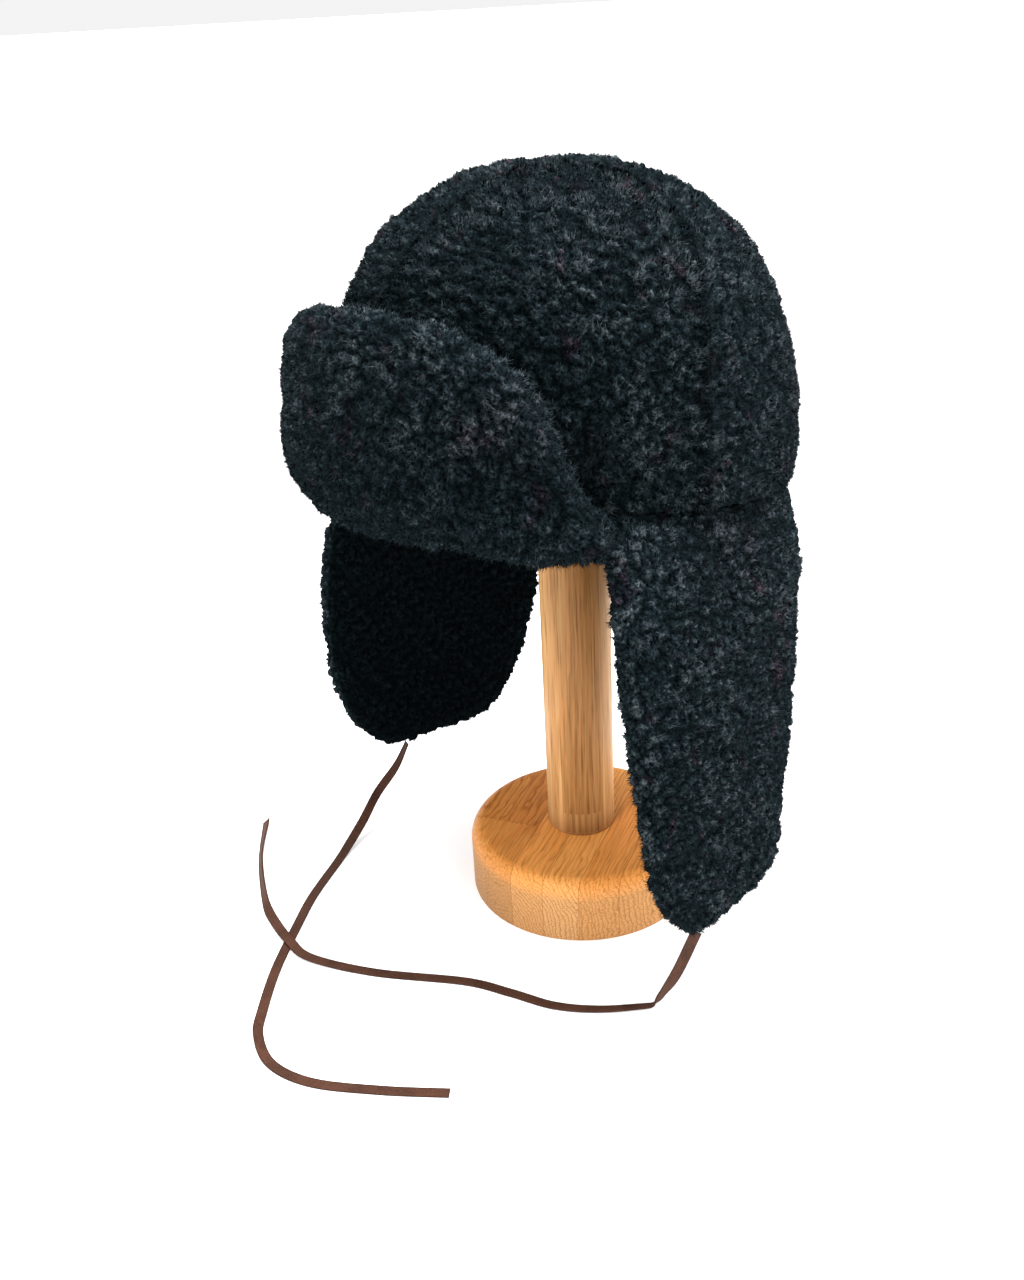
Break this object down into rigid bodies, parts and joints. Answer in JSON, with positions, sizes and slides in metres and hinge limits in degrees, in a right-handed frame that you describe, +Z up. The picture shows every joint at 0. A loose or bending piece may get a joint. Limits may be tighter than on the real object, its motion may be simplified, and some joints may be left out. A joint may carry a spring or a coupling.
{
  "type": "aviator hat on stand",
  "caption": "Pile aviator hat with turned-up brim, long ear flaps, neck flap and leather ties, resting on a round wooden stand.",
  "frame": {"origin": "centre of the stand base's underside, on the post's axis", "axes": "+Z up along the post, the hat faces -Y, and its wearer's left side is at +X"},
  "size_m": [0.3147, 0.3428, 0.3984],
  "materials": {
    "pile": "short curly pile, blue-black charcoal",
    "tie_leather": "matt brown flat leather",
    "stand_wood": "light glued-up wood, satin"
  },
  "bodies": {
    "root": {"crown_front_left": "pile", "crown_front_right": "pile", "crown_back_left": "pile", "crown_back_right": "pile", "brim": "pile", "ear_flap_left": "pile", "ear_flap_right": "pile", "neck_flap": "pile", "tie_left": "tie_leather", "tie_right": "tie_leather", "stand_base": "stand_wood", "stand_post": "stand_wood", "stand_head": "stand_wood"}
  },
  "joints": []
}
